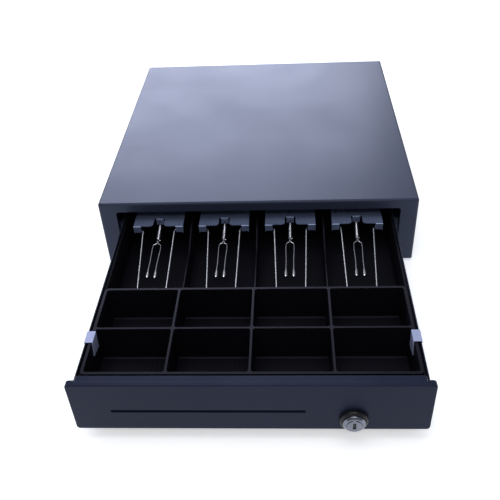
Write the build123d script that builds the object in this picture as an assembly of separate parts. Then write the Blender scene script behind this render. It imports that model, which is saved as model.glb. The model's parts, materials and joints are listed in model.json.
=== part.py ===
from build123d import *
from math import cos, hypot, radians, sin
import os

# A cash drawer, shown open. Millimetres. While it is modelled, X runs across, Y runs back from the
# housing's front face and Z runs up from the counter. Every piece is moved along Y at the end, so
# that the origin lies under the middle of the open drawer's footprint.

# Housing
HOUSING_W = 410.0
HOUSING_D = 430.0
HOUSING_TOP = 100.0
FOOT_H = 5.0
SHEET = 1.2
BEND_R = 3.0
STRIP_SIDE = 22.0
STRIP_TOP = 13.0
STRIP_BOTTOM = 9.0
OPENING_R = 4.0
HEM_D = 8.0
REAR_FLANGE = 10.0
BASE_FLANGE = 12.0
FOOT_R = 11.0
FOOT_CHAMFER = 1.0
FOOT_RECESS_R = 5.0
FOOT_RECESS_H = 2.5
FOOT_INSET = 34.0
SCREW_R = 1.5
SCREW_HEAD_R = 3.0
SCREW_HEAD_H = 1.6
FOOT_SCREW_R = 2.0
FOOT_SCREW_L = 10.0
REAR_SCREW_L = 6.0
REAR_SCREW_TOP_X = 150.0
REAR_SCREW_LOW_X = 100.0

# Drawer, seen fully open
MECHANISM_D = 85.0
BOX_INSIDE_D = 60.0
PANEL_T = 13.0
PANEL_PLATE_T = 5.5
PANEL_WALL = 3.0
PANEL_STEP = 1.5
PANEL_EDGE_R = 1.5
PANEL_RIM_W = 1.5
PANEL_RIM_D = 1.5
PANEL_SIDE_GAP = 4.0
PANEL_EDGE_GAP = 3.0
PANEL_CORNER_R = 4.0
PANEL_WING = 8.5
BOX_SIDE_GAP = 8.0
BOX_SHEET = 1.2
BOX_BOTTOM = 18.5
BOX_TOP_DROP = 13.0
BOX_FRONT_RISE = 3.0
SLOT_W = 194.0
SLOT_H = 3.6
SLOT_X = -42.0
SLOT_RISE = 28.2

# Slides
RAIL_SHEET = 1.5
RAIL_GAP = 7.0
RAIL_FRONT_Y = 11.0
RAIL_REAR_GAP = 25.0
RAIL_LOW = 24.0
RAIL_HIGH = 46.0
RAIL_STOP_T = 3.0
RAIL_STOP_IN = 2.0
RUNNER_LOW = 27.0
RUNNER_HIGH = 44.0
RUNNER_ARM = 50.0
RUNNER_GAP = 1.0
ROLLER_R = 8.0
ROLLER_W = 8.0
ROLLER_RIM_R = 6.0
ROLLER_GROOVE = 1.6
ROLLER_SIDE_GAP = 2.0
HUB_R = 4.0
AXLE_R = 2.0
FRONT_ROLLER_Y = 24.0
REAR_ROLLER_BACK = 38.0

# Money till, bill dividers and coin tray
TILL_WALL = 1.8
TILL_GAP = 0.5
TILL_FRONT_GAP = 7.0
TILL_REAR_GAP = 20.8
TILL_LOW = 24.5
TILL_FLOOR = 2.5
TILL_SKIRT = 8.0
TILL_WALL_DROP = 5.0
LEDGE_D = 12.0
LEDGE_T = 2.0
LEDGE_DROP = 3.0
BAYS = 4
DIVIDER_T = 2.0
DIVIDER_LOW_DROP = 13.0
DIVIDER_HIGH_L = 46.0
DIVIDER_SLOPE_L = 36.0
DIVIDER_KNEE_R = 26.0
COIN_TRAY_D = 128.5
COIN_TRAY_GAP = 2.1
COIN_RIM_W = 3.0
COIN_RIM_T = 2.5
COIN_RIM_LIP = 1.5
COIN_RIM_R = 4.0
COIN_WALL = 2.4
COIN_FLOOR = 2.3
COIN_CORNER_R = 3.0
COIN_FLOOR_R = 2.5
COIN_ROWS = 2
RIB_W = 1.0
RIB_H = 0.7
RIB_PITCH = 5.5
RIB_COUNT = 4
RIB_INSET = 8.0

# Bill clips
PLATE_W = 64.5
PLATE_T = 1.0
PLATE_REACH = 50.0
PLATE_REAR_GAP = 2.0
PLATE_BEND_R = 1.4
EAR_W = 9.5
EAR_DROP = 8.0
NOTCH_W = 14.0
NOTCH_LIP_R = 5.0
NOTCH_D = 18.5
RECESS_D = 1.5
TAB_W = 9.8
TAB_BACK = 17.0
TAB_DROP = 8.2
TAB_HOLE_R = 1.4
LUG_DROP = 10.0
LUG_BACK = 3.0
BAIL_R = 1.1
BAIL_HALF_W = 20.5
BAIL_BAR_HALF_W = 17.2
BAIL_BACK = 3.0
BAIL_DROP = 6.0
BAIL_END_GAP = 20.0
BAIL_FLOOR_GAP = 5.0
BAIL_BEND_R = 3.0
HOOK_R = 2.6
HOOK_WIRE_R = 0.6
HOOK_DROP = 7.6
SPRING_R = 2.8
SPRING_BORE_R = 1.2
SPRING_L = 24.0
SPRING_START = 3.4
SPRING_SLOPE = 21.8
SHANK_IN = 5.0
SHANK_FIT = 0.05
FORK_WIRE_R = 0.75
FORK_BEND_R = 4.0
FORK_L = 58.0
FORK_SLOPE = 12.6
FORK_SHOULDER = (4.4, 3.5)
FORK_WIDEST = (5.3, 12.0)
FORK_TIP_HALF_W = 4.9
TIP_L = 11.0
TIP_W = 3.2
TIP_T = 1.2
RIVET_R = 1.5
RIVET_HEAD_R = 3.0
RIVET_HEAD_H = 1.0
RIVET_TAIL_R = 2.5
RIVET_X = 20.0

# Tray clips over the drawer's sides
TRAY_CLIP_T = 0.8
TRAY_CLIP_BACK = 42.7
TRAY_CLIP_L = 16.5
TRAY_CLIP_TONGUE = 20.0
TRAY_CLIP_RAKE = 4.0
TRAY_CLIP_LIP = 6.0

# Front lock
LOCK_X = 102.5
LOCK_RISE = 18.0
LOCK_PROUD = 10.0
BEZEL_R = 14.3
BEZEL_D = 6.0
BEZEL_CHAMFER = 2.0
RING_R = 11.4
BARREL_R = 9.4
PLUG_R = 7.5
PLUG_PROUD = 0.8
PLUG_CHAMFER = 0.4
PLUG_TAIL = 6.0
KEY_W = 3.0
KEY_H = 9.0
KEY_D = 14.0
NUT_AF = 24.0
NUT_T = 3.0
CAM_W = 8.0
CAM_L = 27.0
CAM_T = 1.5
CAM_EYE_R = 5.6
CAM_GAP = 3.4
CAM_SCREW_R = 4.0
CAM_PLAY = 0.4
CAM_MARGIN = 2.0
CAM_CATCH = 1.2
KEEPER_H = 9.3

# Latch, solenoid, ejector and socket behind the closed drawer
LATCH_Z = 30.0
LATCH_T = 3.0
LATCH_X = 0.0
LATCH_HOOK_GAP = 2.5
LATCH_HOOK_L = 10.0
LATCH_TIP = 4.0
LATCH_TIP_T = 1.0
LATCH_ARM = (-15.0, -6.0)
TAIL_L = 18.0
TAIL_HALF_W = 4.0
TAIL_END = 5.0
TAIL_SLOT = (1.7, 3.2)
STRIKE_PIN_R = 3.0
STRIKE_REACH = 19.0
STRIKE_SHEET = 1.5
STRIKE_HALF_W = 8.0
STRIKE_GAP = 3.5
STRIKE_END = 5.0
PIVOT_BACK = 45.0
PIVOT_SIDE = 10.0
PIVOT_R = 3.0
PIVOT_SHOULDER_R = 5.5
PIVOT_BOSS_R = 7.0
PIVOT_CLIP_R = 5.0
PIVOT_CLIP_T = 0.8
PIVOT_TOP = 3.0
LATCH_COIL_R = 7.2
LATCH_COIL_WIRE = 1.4
LATCH_COIL_RISE = 2.0
LATCH_LEG_R = 0.6
LATCH_LEG_X = 4.0
LATCH_LEG_L = 20.0
PLATFORM_Z = 19.5
PLATFORM_LEFT = 16.0
PLATFORM_RIGHT = 6.0
PLATFORM_FRONT = 14.0
PLATFORM_BACK = 32.0
PLATFORM_FOOT = 8.0
PLUNGER_R = 4.5
PLUNGER_GAP = 0.3
PLUNGER_HEAD = 8.0
PLUNGER_HALF_W = 4.0
PLUNGER_HALF_H = 5.0
PLUNGER_FORK_GAP = 0.4
PLUNGER_PIN_R = 1.4
SOLENOID_L = 40.0
SOLENOID_X = 6.0
SOLENOID_HALF_W = 11.0
SOLENOID_SHEET = 2.0
EJECTOR_X = -90.0
EJECTOR_Z = 38.0
EJECTOR_R = 7.0
EJECTOR_WIRE = 1.5
EJECTOR_ROD_R = 3.0
EJECTOR_FLANGE = 4.0
EJECTOR_ROD_GAP = 8.0
SOCKET_X = -120.0
SOCKET_Z = 30.0
SOCKET_W = 16.0
SOCKET_H = 14.0
SOCKET_D = 15.0
SOCKET_EAR = 3.0
SOCKET_WALL = 2.0
SOCKET_SILL = 4.0
SOCKET_BACK = 3.0
SOCKET_KEY_HALF_W = 2.0
SOCKET_KEY_FLOOR = 1.5

# Clearances, and how far a cut runs past the face that it opens
HOLE_CLEARANCE = 0.1
RUN_CLEARANCE = 0.3
PLUG_CLEARANCE = 0.1
SLOT_IN_FIT = 0.1
END_GAP = 0.5
PAST = 1.0
NEAR = 0.01

# Places worked out from the sizes above
half_w = HOUSING_W / 2
opening_half = half_w - STRIP_SIDE
opening_low = FOOT_H + STRIP_BOTTOM
opening_high = HOUSING_TOP - STRIP_TOP
base_top = FOOT_H + SHEET
rear_inside = HOUSING_D - SHEET
travel = HOUSING_D - MECHANISM_D - BOX_INSIDE_D
panel_half = opening_half - PANEL_SIDE_GAP
panel_low = opening_low + PANEL_EDGE_GAP
panel_high = opening_high - PANEL_EDGE_GAP
panel_front = -travel
panel_back = panel_front + PANEL_T
box_half = opening_half - BOX_SIDE_GAP
box_inner = box_half - BOX_SHEET
box_floor = BOX_BOTTOM + BOX_SHEET
box_front = panel_back
box_back = BOX_INSIDE_D
box_top = opening_high - BOX_TOP_DROP
closed_back = box_back + travel
slot_z = panel_low + SLOT_RISE


def block(x, y, z):
    """A box from its low and high X, Y and Z."""
    middle = [(low + high) / 2 for low, high in (x, y, z)]
    return Pos(*middle) * Box(x[1] - x[0], y[1] - y[0], z[1] - z[0])


def rod(start, end, radius):
    """A round bar between two points."""
    start, end = Vector(*start), Vector(*end)
    path = end - start
    return Plane(origin=start, z_dir=path) * Cylinder(
        radius, path.length, align=(Align.CENTER, Align.CENTER, Align.MIN))


def tube(start, end, radius, bore):
    """A round tube between two points."""
    return rod(start, end, radius) - rod(start, end, bore)


def both_sides(shape):
    """A right-hand piece and its mirror image, right one first."""
    return shape, mirror(shape, about=Plane.YZ)


def outline_yz(points, x):
    """A flat sheet drawn in Y and Z, from one X to another."""
    face = Plane.YZ.offset(x[0]) * make_face(Polyline(*points, close=True))
    return extrude(face, x[1] - x[0])


def outline_xy(points, z):
    """A flat sheet drawn in X and Y, from one Z to another."""
    face = Plane.XY.offset(z[0]) * make_face(Polyline(*points, close=True))
    return extrude(face, z[1] - z[0])


def rounded_plate(half, low, high, y, radius):
    """An upright plate across the drawer with rounded corners."""
    face = RectangleRounded(2 * half, high - low, radius)
    return extrude(Plane.XZ.offset(-y[0]) * Pos(0, (low + high) / 2) * face, -(y[1] - y[0]))


def rounded_tray(x, y, z, radius):
    """A block whose upright corners are rounded."""
    face = RectangleRounded(x[1] - x[0], y[1] - y[0], radius)
    at = Plane.XY.offset(z[0]) * Pos((x[0] + x[1]) / 2, (y[0] + y[1]) / 2)
    return extrude(at * face, z[1] - z[0])


def edges_at(shape, **place):
    """The edges whose middle lies at the given X, Y or Z."""
    def there(edge):
        middle = edge.center()
        return all(abs(getattr(middle, axis) - at) < NEAR for axis, at in place.items())
    return shape.edges().filter_by(there)


def screw(head_at, direction, radius, length):
    """A pan-head screw from the seat of its head."""
    seat = Vector(*head_at)
    along = Vector(*direction)
    shank = rod(seat, seat + along * length, radius)
    head = rod(seat - along * SCREW_HEAD_H, seat, SCREW_HEAD_R * radius / SCREW_R)
    return shank + head


# Housing ------------------------------------------------------------------------------------------

rear_flange_mid = SHEET + REAR_FLANGE / 2
rear_screw_places = [(s * REAR_SCREW_TOP_X, HOUSING_TOP - rear_flange_mid) for s in (-1, 0, 1)]
rear_screw_places += [(s * (half_w - rear_flange_mid), HOUSING_TOP / 2) for s in (-1, 1)]
rear_screw_places += [(s * REAR_SCREW_LOW_X, base_top + BASE_FLANGE / 2) for s in (-1, 1)]
foot_places = {
    f"foot_{end}_{side}": (x, y)
    for end, y in (("front", FOOT_INSET), ("rear", HOUSING_D - FOOT_INSET))
    for side, x in (("left", -half_w + FOOT_INSET), ("right", half_w - FOOT_INSET))}


def folded_shell(x_half, y, z, radius):
    """The housing's outside or inside form, rounded on its top, front and side folds."""
    form = block((-x_half, x_half), y, z)
    folds = edges_at(form, Z=z[1]) - edges_at(form, Y=y[1], Z=z[1])
    front = edges_at(form, Y=y[0]).filter_by(Axis.Z)
    return fillet(folds + front, radius)


def rear_holes(radius):
    ends = (HOUSING_D - 3 * SHEET, HOUSING_D + SHEET)
    return [rod((x, ends[0], z), (x, ends[1], z), radius) for x, z in rear_screw_places]


def housing_cover():
    """Top, sides and front frame, folded from one sheet, with flanges for the rear panel."""
    back = HOUSING_D - SHEET
    shell = folded_shell(half_w, (0, back), (FOOT_H, HOUSING_TOP), BEND_R)
    shell -= folded_shell(half_w - SHEET, (SHEET, HOUSING_D), (0, HOUSING_TOP - SHEET), BEND_R - SHEET)
    shell -= rounded_plate(opening_half, opening_low, opening_high, (-PAST, 2 * SHEET), OPENING_R)
    hem_y = (SHEET / 2, SHEET + HEM_D)
    hem_end = opening_half - 2 * OPENING_R
    shell += block((-hem_end, hem_end), hem_y, (opening_high, opening_high + SHEET))
    upright = (opening_low + 2 * OPENING_R, opening_high - 2 * OPENING_R)
    for hem in both_sides(block((opening_half, opening_half + SHEET), hem_y, upright)):
        shell += hem
    inside = half_w - SHEET / 2
    flange_z = (base_top + 2 * SHEET, HOUSING_TOP - SHEET / 2)
    flange = block((-inside, inside), (back - SHEET, back), flange_z)
    inner = half_w - SHEET - REAR_FLANGE
    inner_top = HOUSING_TOP - SHEET - REAR_FLANGE
    flange -= block((-inner, inner), (back - 2 * SHEET, HOUSING_D), (0, inner_top))
    flange &= folded_shell(inside, (0, HOUSING_D), (0, flange_z[1]), BEND_R - SHEET / 2)
    shell += flange
    for hole in rear_holes(SCREW_R + HOLE_CLEARANCE):
        shell -= hole
    return shell


def base_plate():
    """Bottom of the housing, with folded-up edges at the sides and the back."""
    half = half_w - SHEET - RUN_CLEARANCE
    y = (SHEET + RUN_CLEARANCE, rear_inside)
    plate = block((-half, half), y, (FOOT_H, base_top))
    plate = chamfer(edges_at(plate, Y=y[0]).filter_by(Axis.Z), BEND_R)
    edge_y = (2 * BASE_FLANGE, HOUSING_D - 2 * BASE_FLANGE)
    for edge in both_sides(block((half - SHEET, half), edge_y, (FOOT_H, FOOT_H + BASE_FLANGE))):
        plate += edge
    rear_half = half_w - SHEET - REAR_FLANGE - PAST
    rear_y = (rear_inside - SHEET, rear_inside)
    plate += block((-rear_half, rear_half), rear_y, (FOOT_H, base_top + BASE_FLANGE))
    for hole in rear_holes(SCREW_R + HOLE_CLEARANCE):
        plate -= hole
    for x, y in foot_places.values():
        plate -= rod((x, y, 0), (x, y, HOUSING_TOP / 4), FOOT_SCREW_R + HOLE_CLEARANCE)
    return plate


def rear_panel():
    """Back of the housing, screwed on from behind, with a window for the socket."""
    panel = rounded_plate(half_w, FOOT_H, HOUSING_TOP, (rear_inside, HOUSING_D), BEND_R)
    for hole in rear_holes(SCREW_R + HOLE_CLEARANCE):
        panel -= hole
    w, h = SOCKET_W / 2 + HOLE_CLEARANCE, SOCKET_H / 2 + HOLE_CLEARANCE
    through = (rear_inside - PAST, HOUSING_D + PAST)
    return panel - block((SOCKET_X - w, SOCKET_X + w), through, (SOCKET_Z - h, SOCKET_Z + h))


def foot(x, y):
    """A turned rubber foot with a recess that hides its screw."""
    body = rod((x, y, 0), (x, y, FOOT_H), FOOT_R)
    body = chamfer(edges_at(body, Z=0), FOOT_CHAMFER)
    body -= rod((x, y, -PAST), (x, y, FOOT_RECESS_H), FOOT_RECESS_R)
    return body - rod((x, y, 0), (x, y, FOOT_H), FOOT_SCREW_R + HOLE_CLEARANCE)


def foot_screws():
    seats = [(x, y, FOOT_RECESS_H) for x, y in foot_places.values()]
    return [screw(seat, (0, 0, 1), FOOT_SCREW_R, FOOT_SCREW_L) for seat in seats]


def rear_screws():
    return [screw((x, HOUSING_D, z), (0, -1, 0), SCREW_R, REAR_SCREW_L) for x, z in rear_screw_places]


# Slides -------------------------------------------------------------------------------------------

rail_x = opening_half + RAIL_GAP
rail_back = HOUSING_D - RAIL_REAR_GAP
rail_foot_x = half_w - 2 * SHEET - 2 * RUN_CLEARANCE
rear_roller_y = box_back + REAR_ROLLER_BACK
roller_x = box_half + RAIL_SHEET + ROLLER_SIDE_GAP + ROLLER_W / 2
front_roller_z = RUNNER_HIGH - RAIL_SHEET - RUN_CLEARANCE - ROLLER_R
rear_roller_z = RAIL_HIGH - RUN_CLEARANCE - ROLLER_R
rail_screw_ys = (RAIL_FRONT_Y + BASE_FLANGE, rail_back - BASE_FLANGE)
rail_screw_places = [((rail_x + RAIL_SHEET + rail_foot_x) / 2, y) for y in rail_screw_ys]


def housing_rail():
    """Right-hand track: a channel with a foot, a fixed front axle and a stop at each end."""
    y = (RAIL_FRONT_Y, rail_back)
    lip = roller_x - ROLLER_W / 2
    into_wall = rail_x + RAIL_SHEET / 2
    rail = block((rail_x, rail_x + RAIL_SHEET), y, (base_top, RAIL_HIGH + RAIL_SHEET))
    rail += block((rail_x, rail_foot_x), y, (base_top, base_top + RAIL_SHEET))
    rail += block((lip, into_wall), y, (RAIL_LOW, RAIL_LOW + RAIL_SHEET))
    rail += block((lip, into_wall), y, (RAIL_HIGH, RAIL_HIGH + RAIL_SHEET))
    stop_x = (roller_x - RAIL_STOP_IN, into_wall)
    stop_z = (RAIL_LOW + RAIL_SHEET / 2, rear_roller_z + AXLE_R)
    open_stop = rear_roller_y - ROLLER_R - RUN_CLEARANCE
    shut_stop = rear_roller_y + travel + ROLLER_R + RUN_CLEARANCE
    rail += block(stop_x, (open_stop - RAIL_STOP_T, open_stop), stop_z)
    rail += block(stop_x, (shut_stop, shut_stop + RAIL_STOP_T), stop_z)
    pin_tip = lip - RUN_CLEARANCE
    rail += rod((into_wall, FRONT_ROLLER_Y, front_roller_z),
                (pin_tip, FRONT_ROLLER_Y, front_roller_z), AXLE_R)
    for x, y in rail_screw_places:
        rail -= rod((x, y, base_top - PAST), (x, y, base_top + 2 * RAIL_SHEET), SCREW_R + HOLE_CLEARANCE)
    return rail


def rail_screws():
    places = [(s * x, y) for x, y in rail_screw_places for s in (-1, 1)]
    return [screw((x, y, base_top + RAIL_SHEET), (0, 0, -1), SCREW_R, RAIL_SHEET) for x, y in places]


def drawer_runner():
    """Right-hand runner on the drawer's side: it rolls on the front roller and carries the rear one."""
    x = (box_half, box_half + RAIL_SHEET)
    into_wall = box_half + RAIL_SHEET / 2
    front = box_front + RUNNER_GAP
    runner = block(x, (front, box_back + RUNNER_ARM), (RUNNER_LOW, RUNNER_HIGH))
    flange_end = rear_roller_y - ROLLER_R - RAIL_STOP_T
    runner += block((into_wall, opening_half - RUNNER_GAP), (front, flange_end),
                    (RUNNER_HIGH - RAIL_SHEET, RUNNER_HIGH))
    pin_end = roller_x + ROLLER_W / 2 + RUN_CLEARANCE
    return runner + rod((into_wall, rear_roller_y, rear_roller_z),
                        (pin_end, rear_roller_y, rear_roller_z), AXLE_R)


def roller(y, z):
    """Right-hand nylon roller with a stepped hub."""
    inner, outer = roller_x - ROLLER_W / 2, roller_x + ROLLER_W / 2
    wheel = tube((inner, y, z), (outer, y, z), ROLLER_R, AXLE_R + HOLE_CLEARANCE)
    for low, high in ((inner - PAST, inner + ROLLER_GROOVE), (outer - ROLLER_GROOVE, outer + PAST)):
        wheel -= tube((low, y, z), (high, y, z), ROLLER_RIM_R, HUB_R)
    return wheel


# Drawer, till and coin tray -----------------------------------------------------------------------

till_half = box_inner - TILL_GAP
till_inner = till_half - TILL_WALL
till_front = box_front + BOX_SHEET + TILL_FRONT_GAP
till_back = box_back - BOX_SHEET - TILL_REAR_GAP
till_floor = TILL_LOW + TILL_FLOOR
till_top = box_top - TILL_WALL_DROP
ledge_top = box_top - LEDGE_DROP
ledge_low = ledge_top - LEDGE_T
bay_pitch = 2 * (till_inner - TILL_WALL / 2) / BAYS
bay_centres = [(k - (BAYS - 1) / 2) * bay_pitch for k in range(BAYS)]
divider_places = [(k - BAYS / 2) * bay_pitch for k in range(1, BAYS)]
coin_half = till_inner - TILL_GAP
coin_front = till_front + COIN_TRAY_GAP
coin_back = coin_front + COIN_TRAY_D
coin_top = box_top
cup_floor = till_floor + COIN_FLOOR
lock_z = panel_low + LOCK_RISE
lock_front = panel_front - LOCK_PROUD
cam_y = (panel_back + BOX_SHEET + CAM_GAP, panel_back + BOX_SHEET + CAM_GAP + CAM_T)
barrel_end = cam_y[0] - CAM_PLAY


def lock_hole(radius):
    return rod((LOCK_X, panel_front - PAST, lock_z), (LOCK_X, till_front, lock_z), radius)


def media_slot(height):
    x = (SLOT_X - SLOT_W / 2, SLOT_X + SLOT_W / 2)
    y = (panel_front - PAST, panel_back + 2 * BOX_SHEET)
    return block(x, y, (slot_z - height / 2, slot_z + height / 2))


def drawer_box():
    """Folded steel drawer: floor, sides, rear wall and a taller front wall behind the panel."""
    front = (box_front, box_front + BOX_SHEET)
    box = block((-box_half, box_half), (box_front, box_back), (BOX_BOTTOM, box_top))
    box += block((-box_inner, box_inner), front, (BOX_BOTTOM, box_top + BOX_FRONT_RISE))
    box -= block((-box_inner, box_inner), (front[1], box_back - BOX_SHEET), (box_floor, HOUSING_TOP))
    box -= lock_hole(BARREL_R + HOLE_CLEARANCE)
    box -= media_slot(2 * SLOT_H)
    cam_window = (cam_y[0] - CAM_MARGIN, cam_y[1] + CAM_MARGIN)
    return box - block((LOCK_X - CAM_W, LOCK_X + CAM_L), cam_window, (BOX_BOTTOM - PAST, box_floor + PAST))


def front_panel():
    """Moulded drawer front: a full-size plate, a narrower raised back and a rim round the wings."""
    plate_back = panel_front + PANEL_PLATE_T
    plate = rounded_plate(panel_half, panel_low, panel_high, (panel_front, plate_back), PANEL_CORNER_R)
    plate = fillet(edges_at(plate, Y=panel_front), PANEL_EDGE_R)
    back_half = panel_half - PANEL_WING
    back_low, back_high = panel_low + PANEL_STEP, panel_high - PANEL_STEP / 3
    raised = (plate_back - PAST, panel_back)
    back = rounded_plate(back_half, back_low, back_high, raised, PANEL_CORNER_R / 2)
    back -= rounded_plate(back_half - PANEL_WALL, back_low + PANEL_WALL, back_high - PANEL_WALL,
                          (plate_back, panel_back + PAST), PANEL_CORNER_R / 2)
    boss = rod((LOCK_X, raised[0], lock_z), (LOCK_X, panel_back, lock_z), BARREL_R + PANEL_WALL)
    slot_half, slot_rise = SLOT_W / 2 + PANEL_WALL, SLOT_H / 2 + PANEL_WALL
    slot_rim = block((SLOT_X - slot_half, SLOT_X + slot_half), raised,
                     (slot_z - slot_rise, slot_z + slot_rise))
    rim_y = (plate_back - PAST, plate_back + PANEL_RIM_D)
    rim = rounded_plate(panel_half, panel_low, panel_high, rim_y, PANEL_CORNER_R)
    rim -= rounded_plate(panel_half - PANEL_RIM_W, panel_low + PANEL_RIM_W, panel_high - PANEL_RIM_W,
                         rim_y, PANEL_CORNER_R - PANEL_RIM_W)
    rim -= block((-back_half, back_half), (rim_y[0] - PAST, rim_y[1] + PAST), (0, HOUSING_TOP))
    panel = plate + back + boss + slot_rim + rim
    return panel - lock_hole(BARREL_R + HOLE_CLEARANCE) - media_slot(SLOT_H)


def money_till():
    """Moulded till that fills the drawer, with a ledge across its back for the bill clips."""
    across = (-till_half, till_half)
    till = block(across, (till_front, till_back), (TILL_LOW, till_top))
    till -= block((-till_inner, till_inner), (till_front + TILL_WALL, till_back - TILL_WALL),
                  (till_floor, HOUSING_TOP))
    till += block(across, (till_back - TILL_WALL, till_back), (TILL_LOW, ledge_top))
    till += block(across, (till_back - LEDGE_D, till_back), (ledge_low, ledge_top))
    skirt = block((till_half - TILL_SKIRT, till_half), (till_front, till_back), (box_floor, till_floor))
    for side in both_sides(skirt):
        till += side
    for x, y in rivet_places:
        till -= rod((x, y, ledge_low - PAST), (x, y, ledge_top + PAST), RIVET_R + HOLE_CLEARANCE)
    return till


def bill_divider(x):
    """Upright divider of the bill bays: tall at the back, then sloping down to a low front part."""
    front, back = coin_back + END_GAP, till_back - TILL_WALL - SLOT_IN_FIT
    low, high = till_floor, ledge_low - SLOT_IN_FIT
    knee = back - DIVIDER_HIGH_L
    step_y, step = knee - DIVIDER_SLOPE_L, high - DIVIDER_LOW_DROP
    points = [(front, low), (back, low), (back, high), (knee, high), (step_y, step), (front, step)]
    panel = outline_yz(points, (x - DIVIDER_T / 2, x + DIVIDER_T / 2))
    knees = edges_at(panel, Y=knee, Z=high) + edges_at(panel, Y=step_y, Z=step)
    return fillet(knees, DIVIDER_KNEE_R)


def span(count, low, high, wall):
    """Low and high ends of equal spaces between two walls, with a wall between neighbours."""
    size = (high - low - (count - 1) * wall) / count
    return [(low + k * (size + wall), low + k * (size + wall) + size) for k in range(count)]


cup_columns = span(BAYS, -coin_half + COIN_RIM_W, coin_half - COIN_RIM_W, COIN_WALL)
cup_rows = span(COIN_ROWS, coin_front + COIN_RIM_W, coin_back - COIN_RIM_W, COIN_WALL)


def coin_tray():
    """Coin tray with rounded cups, a rim and short ribs on each cup's floor."""
    low = (-coin_half + COIN_RIM_LIP, coin_half - COIN_RIM_LIP)
    body_y = (coin_front + COIN_RIM_LIP, coin_back - COIN_RIM_LIP)
    tray = rounded_tray(low, body_y, (till_floor, coin_top), COIN_CORNER_R)
    tray += rounded_tray((-coin_half, coin_half), (coin_front, coin_back),
                         (coin_top - COIN_RIM_T, coin_top), COIN_RIM_R)
    for x in cup_columns:
        for y in cup_rows:
            cup = rounded_tray(x, y, (cup_floor, coin_top + PAST), COIN_CORNER_R)
            tray -= fillet(edges_at(cup, Z=cup_floor), COIN_FLOOR_R)
            rib_y = (y[0] + RIB_INSET, y[1] - RIB_INSET)
            for k in range(RIB_COUNT):
                rib_x = x[1] - RIB_INSET - k * RIB_PITCH
                tray += block((rib_x - RIB_W, rib_x), rib_y, (cup_floor - PAST, cup_floor + RIB_H))
    return tray


# Bill clips ---------------------------------------------------------------------------------------

plate_top = ledge_top + PLATE_T
plate_front = till_back - PLATE_REACH
recess_y = plate_front + RECESS_D
notch_back = plate_front + NOTCH_D
tab_y = plate_front + TAB_BACK
bail_y = plate_front + BAIL_BACK
rivet_places = [(c + s * RIVET_X, till_back - LEDGE_D / 2) for c in bay_centres for s in (-1, 1)]
bail_z = ledge_top - BAIL_DROP
bail_end = (coin_back + BAIL_END_GAP, till_floor + BAIL_FLOOR_GAP + BAIL_R)
hook_z = ledge_top - HOOK_DROP
hook_y = tab_y + PLATE_T / 2
spring_tilt = radians(SPRING_SLOPE)
neck_reach = SPRING_START + SPRING_L
neck = (hook_y - neck_reach * cos(spring_tilt), hook_z - neck_reach * sin(spring_tilt))


def bill_bracket(c):
    """Pressed plate on the till's ledge, with two front ears, lugs for the bail and a middle tab."""
    half = PLATE_W / 2
    ear = half - EAR_W
    notch = NOTCH_W / 2
    points = [(-half, till_back - PLATE_REAR_GAP), (-half, plate_front), (-ear, plate_front),
              (-ear, recess_y), (-notch, recess_y), (-notch, notch_back)]
    points += [(-x, y) for x, y in reversed(points)]
    plate = outline_xy([(c + x, y) for x, y in points], (ledge_top, plate_top))
    lips = edges_at(plate, X=c - notch, Y=recess_y) + edges_at(plate, X=c + notch, Y=recess_y)
    plate = fillet(lips, NOTCH_LIP_R)
    lug_y = (plate_front + PLATE_T / 2, bail_y + LUG_BACK)
    for s in (-1, 1):
        x = sorted((c + s * ear, c + s * half))
        plate += block(x, (plate_front, plate_front + PLATE_T), (ledge_top - EAR_DROP, plate_top))
        lug_x = sorted((c + s * (half - PLATE_T), c + s * half))
        plate += block(lug_x, lug_y, (ledge_top - LUG_DROP, plate_top - PLATE_T / 2))
    tab_x = (c - TAB_W / 2, c + TAB_W / 2)
    plate += block(tab_x, (tab_y, tab_y + PLATE_T), (ledge_top - TAB_DROP, plate_top))
    plate += block(tab_x, (tab_y, notch_back + PAST), (ledge_top, plate_top))
    bends = edges_at(plate, Y=plate_front, Z=plate_top) + edges_at(plate, Y=tab_y, Z=plate_top)
    plate = fillet(bends, PLATE_BEND_R)
    plate -= rod((c - half - PAST, bail_y, bail_z),
                 (c + half + PAST, bail_y, bail_z), BAIL_R + HOLE_CLEARANCE)
    eye_z = hook_z + HOOK_R
    plate -= rod((c, tab_y - PAST, eye_z), (c, tab_y + 2 * PLATE_T, eye_z), TAB_HOLE_R)
    for s in (-1, 1):
        x, y = c + s * RIVET_X, till_back - LEDGE_D / 2
        plate -= rod((x, y, ledge_top - PAST), (x, y, plate_top + PAST), RIVET_R + HOLE_CLEARANCE)
    return plate


def bill_bail(c):
    """Wire bail that swings on the bracket's lugs and lies on the bills."""
    dy, dz = bail_end[0] - bail_y, bail_end[1] - bail_z
    plane = Plane(origin=(c, bail_y, bail_z), x_dir=(1, 0, 0), z_dir=(0, -dz, dy))
    side = [(PLATE_W / 2, 0), (BAIL_HALF_W, 0), (BAIL_BAR_HALF_W, hypot(dy, dz))]
    points = side + [(-x, v) for x, v in reversed(side)]
    path = plane * FilletPolyline(*points, radius=BAIL_BEND_R)
    return sweep(Plane(origin=path @ 0, z_dir=path % 0) * Circle(BAIL_R), path=path)


def bill_spring(c):
    """Close-wound spring, drawn as a sleeve, with the hook that hangs it in the bracket's tab."""
    ring = Pos(c, hook_y, hook_z) * Rot(0, 90, 0) * Torus(HOOK_R, HOOK_WIRE_R)

    def at(reach):
        return (c, hook_y - reach * cos(spring_tilt), hook_z - reach * sin(spring_tilt))

    sleeve = tube(at(SPRING_START), at(neck_reach), SPRING_R, SPRING_BORE_R)
    return ring + sleeve + rod(at(HOOK_R), at(SPRING_START + PAST), SPRING_BORE_R + SLOT_IN_FIT)


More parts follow.
